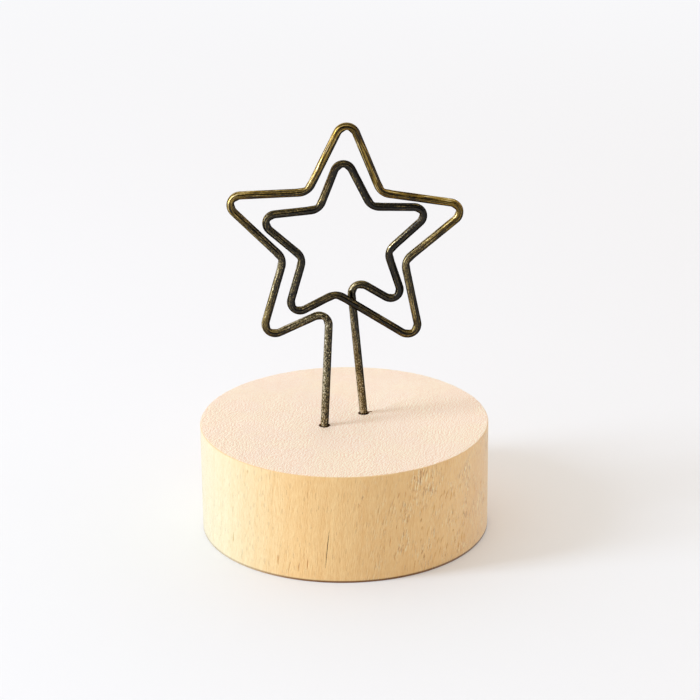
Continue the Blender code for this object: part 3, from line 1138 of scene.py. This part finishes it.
# %% [markdown]
# ## From corners to a centre line
# Each corner becomes an arc that both straights touch. The line is then cut into even steps of a
# fifth of a millimetre, because the marks on the wire are about that long. A Bezier curve would need
# its handles set to the same arcs, and its steps wouldn't be even.

# %% Centre line
RING_STEP = 0.20 * MM
ARC_STEP = math.radians(3.0)


def rounded(before, corner, radius, after):
    """The points of the arc that rounds a corner between its two straights."""
    to_before = (before - corner).normalized()
    to_after = (after - corner).normalized()
    half = to_before.angle(to_after) / 2
    # A bend never takes up more than half of the shorter straight beside it
    shorter = min((before - corner).length, (after - corner).length)
    radius = min(radius, 0.5 * shorter * math.tan(half))
    centre = corner + (to_before + to_after).normalized() * (radius / math.sin(half))
    start = corner + to_before * (radius / math.tan(half)) - centre
    end = corner + to_after * (radius / math.tan(half)) - centre
    sweep = start.angle(end)
    steps = max(2, math.ceil(sweep / ARC_STEP))
    arc = []
    for i in range(steps + 1):
        share = i / steps
        a = math.sin((1 - share) * sweep) / math.sin(sweep)
        b = math.sin(share * sweep) / math.sin(sweep)
        arc.append(centre + start * a + end * b)
    return arc


def centre_line(corners):
    """The wire's line, and how far along it the middle of each bend is."""
    line = [corners[0][0]]
    bend_rows = []
    for (before, _), (corner, radius), (after, _) in zip(corners, corners[1:], corners[2:]):
        arc = rounded(before, corner, radius, after)
        bend_rows.append(len(line) + len(arc) // 2)
        line += arc
    line.append(corners[-1][0])
    travelled = [0.0]
    for a, b in zip(line, line[1:]):
        travelled.append(travelled[-1] + (b - a).length)
    return line, travelled, [travelled[row] for row in bend_rows]


def even_steps(line, travelled, step):
    """The same line, as evenly spaced (distance along, point) pairs."""
    count = round(travelled[-1] / step)
    row = 0
    pairs = []
    for i in range(count + 1):
        goal = travelled[-1] * i / count
        while row < len(line) - 2 and travelled[row + 1] < goal:
            row += 1
        share = (goal - travelled[row]) / (travelled[row + 1] - travelled[row])
        pairs.append((goal, line[row].lerp(line[row + 1], share)))
    return pairs


line, travelled, bends_at = centre_line(corners_of_wire)
steps_of_wire = even_steps(line, travelled, RING_STEP)
print("wire is", round(travelled[-1] / MM, 1), "mm long in", len(steps_of_wire), "steps")

# %% [markdown]
# ## The wire's skin
# A curve with a bevel would give a perfect tube. The real wire is a little uneven: the bending pins
# pinched a crease into the hollow side of each bend, the plating and rubbing left shallow dents, and
# each end was cut with pliers. So the tube is made ring by ring, and set in by a hair everywhere, so
# that the wire stays inside the measured box. Only the low lips beside a crease stand out a little.

# %% Wire skin
WIRE_SIDES = 24
PINCH_DEPTH = 0.11 * MM
PINCH_LENGTH = 0.42 * MM
PINCH_LIP = 0.035 * MM
# How far from the middle of a pinch its lip is, in pinch lengths
PINCH_LIP_AT = 2.0
DENT = 0.018 * MM
DENT_SIZE = 0.9 * MM
FINE_DENT_SIZE = 0.35 * MM
FINE_DENT_SHARE = 0.6
SKIN_INSET = 0.002 * MM
END_CHAMFER = 0.10 * MM
# Two steps that turn by less than this are a straight, in metres
STRAIGHT_WITHIN = 1e-9


def pinch(gap_to_bend, hollow_side):
    """How far the skin moves in at a bend's hollow side, with a low lip beside the crease."""
    reach = gap_to_bend / PINCH_LENGTH
    crease = PINCH_DEPTH * math.exp(-reach * reach)
    lip = PINCH_LIP * math.exp(-((abs(reach) - PINCH_LIP_AT) ** 2))
    return max(0.0, hollow_side) ** 2 * (crease - lip)


def dent_at(spot):
    """How far the skin is dented in here, from nothing to the full depth."""
    uneven = noise.noise(spot / DENT_SIZE) + FINE_DENT_SHARE * noise.noise(spot / FINE_DENT_SIZE)
    return DENT * 0.5 * (1 + max(-1.0, min(1.0, uneven)))


def wire_skin():
    """The wire's tube, ring by ring."""
    rings = []
    for row, (along, centre) in enumerate(steps_of_wire):
        ahead = steps_of_wire[min(row + 1, len(steps_of_wire) - 1)][1]
        behind = steps_of_wire[max(row - 1, 0)][1]
        heading = (ahead - behind).normalized()
        outwards = heading.cross(BACK).normalized()
        frontwards = heading.cross(outwards)
        turning = ahead + behind - 2 * centre
        nearest = min((along - bend for bend in bends_at[1:-1]), key=abs)
        from_end = min(along, travelled[-1] - along)
        slack = END_CHAMFER * max(0.0, 1 - from_end / END_CHAMFER)
        ring = []
        for i in range(WIRE_SIDES):
            angle = math.tau * i / WIRE_SIDES
            out = outwards * math.cos(angle) + frontwards * math.sin(angle)
            spot = centre + out * WIRE_RADIUS
            hollow = out.dot(turning.normalized()) if turning.length > STRAIGHT_WITHIN else 0.0
            inward = dent_at(spot) + slack
            inward += pinch(nearest, hollow) + SKIN_INSET
            ring.append(spot - out * inward)
        rings.append(ring)
    return skin("bent_star_wire", rings)


wire = wire_skin()
print("wire skin has", len(wire.data.vertices), "points")

# %% [markdown]
# ## Where the plating was worn, and where light is painted on it
# Antique bronze plating is brass that is blackened in a bath and then tumbled, which rubs the black
# off again where things touch. On this wire the outer star came out golden, the inner one stayed
# nearly black, and the legs are spotted. Each bend gets a listed share of bare brass and a share of
# spottiness. Both run evenly from bend to bend. On top of that, sides that face the window on the
# left, and sides that face up, are painted barer as a highlight, and the others darker as painted
# shade. Every point of the skin keeps these shares, and where it is on the wire: how far along, and how
# far round.

# %% Worn, lit and spotted shares
RUBBED_AT_BENDS = (
    # left foot and the corner above it
    0.46, 0.36,
    # outer turn: lower left tip, left notch, left tip, and on clockwise to the bottom notch
    0.40, 0.30, 0.40, 0.36, 0.40, 0.38, 0.44, 0.30, 0.30, 0.20,
    # inner turn, from its lower left tip to its lower right tip
    0.18, 0.24, 0.22, 0.22, 0.18, 0.14, 0.12, 0.12, 0.10,
    # the corner above the right leg, and the right foot
    0.26, 0.60,
)
SPOTTED_AT_BENDS = (
    # the same bends: how spotted the wire is, where 0 is lined and 1 is spotted
    0.75, 0.80,
    0.34, 0.55, 0.24, 0.30, 0.15, 0.20, 0.18, 0.45, 0.32, 0.40,
    0.55, 0.50, 0.45, 0.42, 0.40, 0.50, 0.50, 0.45, 0.45,
    0.50, 0.70,
)
# How much barer a side is painted, as a highlight, when it faces the window on the left and when it
# faces up
LEFTWARD_PAINTED_LIGHT = 0.26
UPWARD_PAINTED_LIGHT = 0.18


def share_at(along, shares):
    """One of the two shares at a distance along the wire, running evenly from bend to bend."""
    for (a, low), (b, high) in zip(zip(bends_at, shares), zip(bends_at[1:], shares[1:])):
        if a <= along <= b:
            return low + (high - low) * (along - a) / (b - a)
    return shares[0] if along < bends_at[0] else shares[-1]


def keep_places(piece):
    """Keeps on each point where it is on the wire, in millimetres, how worn it is with its painted
    highlight, and how spotted.
    """
    piece.data.attributes.new("wire_place", "FLOAT_VECTOR", "POINT")
    piece.data.attributes.new("rubbed_and_lit", "FLOAT", "POINT")
    piece.data.attributes.new("mottled", "FLOAT", "POINT")
    # Making one attribute can move another in memory, so all are looked up only now
    places = piece.data.attributes["wire_place"]
    wear_and_light = piece.data.attributes["rubbed_and_lit"]
    mottles = piece.data.attributes["mottled"]
    for row, (along, centre) in enumerate(steps_of_wire):
        share = share_at(along, RUBBED_AT_BENDS)
        mottle = share_at(along, SPOTTED_AT_BENDS)
        for i in range(WIRE_SIDES):
            index = row * WIRE_SIDES + i
            angle = math.tau * i / WIRE_SIDES
            out = (piece.data.vertices[index].co - centre).normalized()
            round_x = WIRE_RADIUS / MM * math.cos(angle)
            round_y = WIRE_RADIUS / MM * math.sin(angle)
            places.data[index].vector = (along / MM, round_x, round_y)
            mottles.data[index].value = mottle
            # Bare brass on sides facing left and up is a painted highlight, and darker brass on the
            # others painted shade
            wear_and_light.data[index].value = share - LEFTWARD_PAINTED_LIGHT * out.x + UPWARD_PAINTED_LIGHT * out.z


keep_places(wire)
print("rubbed shares from", min(RUBBED_AT_BENDS), "to", max(RUBBED_AT_BENDS))

# %% [markdown]
# ## Antique bronze
# Antique bronze is brass plate over iron wire, blackened and then rubbed. The black film takes on
# the shine of the metal under it. Where it thins, it turns brown, then brassy, then bright, golden
# where the wire is lined and greyer where it is spotted. Drawing left fine lines along the wire. Real
# ones are a few hundredths of a millimetre apart, far below a pixel, so they are drawn 0.12 mm apart.

# %% Antique bronze
# Sizes of the marks in mm: drawn lines and their length, spots and their length
DRAW_LINE = 0.12
DRAW_LENGTH = 3.0
SPOT = 0.14
SPOT_LENGTH = 0.24
MARK_CONTRAST = 2.8
MARK_HEIGHT = 0.015 * MM
BLACKENED = "2D2C2A"
WEAR = (
    # from how bare to how bare, its colour where the wire is lined, and where it is spotted
    (0.16, 0.42, "4D3D1E", "494336"),
    (0.36, 0.62, "957A38", "93855F"),
    (0.66, 0.92, "EAD6A0", "E6DECA"),
)
# How spotted the wire is where the grey starts, and where it is full
GREYED = {"From Min": 0.15, "From Max": 0.60}
# The black film is the smoother. Bare brass has fine scratches from the rubbing
FILM_ROUGHNESS = 0.16
BRASS_ROUGHNESS = 0.28
BARED = {"From Min": 0.3, "From Max": 0.7}
# The film makes the metal dark where it is seen edge on
EDGE_TINT = "15120E"


def marks_along(tree, place, length, width):
    """Noise drawn out along the wire, from 0 to 1."""
    drawn = add(tree, "Mapping", {"Vector": place, "Scale": (1 / length, 1 / width, 1 / width)})
    return add(tree, "TexNoise", {"Vector": drawn, **CLOUDY})


def antique_bronze():
    """Plated wire: nearly black and shiny where the film is whole, golden where it is worn off, and
    where a highlight is painted on.
    """
    material, tree, shader = new_material("antique_bronze")
    place = add(tree, "Attribute", attribute_name="wire_place").outputs["Vector"]
    rubbed_and_lit = add(tree, "Attribute", attribute_name="rubbed_and_lit").outputs["Fac"]
    mottled = add(tree, "Attribute", attribute_name="mottled").outputs["Fac"]
    lines = marks_along(tree, place, DRAW_LENGTH, DRAW_LINE)
    spots = marks_along(tree, place, SPOT_LENGTH, SPOT)
    marks = add(tree, "Mix", {"Factor": mottled, "A": lines, "B": spots}, data_type="FLOAT")

    # The marks, the wear and the painted highlight together say how far the black is gone
    centred = add(tree, "Math", {0: marks, 1: 0.5}, operation="SUBTRACT")
    bare = add(tree, "Math", {0: centred, 1: MARK_CONTRAST, 2: rubbed_and_lit}, operation="MULTIPLY_ADD")
    greyed = add(tree, "MapRange", {"Value": mottled, **GREYED}, **SOFTLY)
    worn = linear(BLACKENED)
    for low, high, golden, grey in WEAR:
        tones = {"Factor": greyed, "A": linear(golden), "B": linear(grey)}
        showing = add(tree, "Mix", tones, **IN_COLOUR)
        gone = add(tree, "MapRange", {"Value": bare, "From Min": low, "From Max": high}, **SOFTLY)
        worn = add(tree, "Mix", {"Factor": gone, "A": worn, "B": showing}, **IN_COLOUR)

    scratched = add(tree, "MapRange", {"Value": bare, **BARED}, **SOFTLY)
    finishes = {"Factor": scratched, "A": FILM_ROUGHNESS, "B": BRASS_ROUGHNESS}
    fill(tree, shader, {
        "Base Color": worn,
        "Roughness": add(tree, "Mix", finishes, data_type="FLOAT"),
        "Normal": add(tree, "Bump", {"Strength": 1.0, "Distance": MARK_HEIGHT, "Height": marks}),
        "Metallic": 1.0,
        "Specular Tint": linear(EDGE_TINT),
    })
    return material


bronze = antique_bronze()
print("antique bronze has", len(bronze.node_tree.nodes), "nodes")

# %% [markdown]
# ## Dressing the wire
# The wire takes the place of the measured one. To see that it lies where that one did, the greatest
# distance from the measured wire's surface to this wire's line is read off. It has to be the wire's
# own radius. One point in seven is enough for that, and saves time.

# %% Dress the wire
SHARP_WIRE = math.radians(50.0)
EVERY = 7

wire.data.materials.append(bronze)
wire.data.shade_smooth()
wire.data.set_sharp_from_angle(angle=SHARP_WIRE)
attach(wire, "root")
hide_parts("star_wire")
furthest = max(
    min((corner.co - centre).length for _, centre in steps_of_wire)
    for corner in list(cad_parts["star_wire"].data.vertices)[::EVERY]
)
print("measured wire lies within", round(furthest / MM, 3), "mm of this wire's line")

# %% [markdown]
# ## Glue at the bottom of the holes
# A drop of clear glue holds each leg. It set in the drill's cone, out of sight, so its measured
# shape is kept and only gets its finish: a clear, slightly yellow resin with a few trapped bubbles.

# %% Set glue
GLUE_YELLOW = "E2D3AE"
TRAPPED_AIR = "F4EFE0"
BUBBLE_SPACING = 0.35 * MM
# A bubble's radius and the end of its soft rim, as shares of the spacing
BUBBLE_RIM = {"From Min": 0.18, "From Max": 0.24}
GLUE_CLEARNESS = 0.6
GLUE_ROUGHNESS = 0.2
GLUE_IOR = 1.49


def set_glue():
    """Set resin: clear, smooth and slightly yellow, with paler bubbles of air in it."""
    material, tree, shader = new_material("set_glue")
    place = add(tree, "TexCoord").outputs["Object"]
    spaced = add(tree, "Mapping", {"Vector": place, "Scale": (1 / BUBBLE_SPACING,) * 3})
    cells = add(tree, "TexVoronoi", {"Vector": spaced, "Scale": 1.0})
    resin = add(tree, "MapRange", {"Value": cells.outputs["Distance"], **BUBBLE_RIM})
    tones = {"Factor": resin, "A": linear(TRAPPED_AIR), "B": linear(GLUE_YELLOW)}
    fill(tree, shader, {
        "Base Color": add(tree, "Mix", tones, **IN_COLOUR),
        "Transmission Weight": GLUE_CLEARNESS,
        "Roughness": GLUE_ROUGHNESS,
        "IOR": GLUE_IOR,
    })
    return material


glue = set_glue()
for side in ("left", "right"):
    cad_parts[f"{side}_glue_plug"].material_slots[0].material = glue
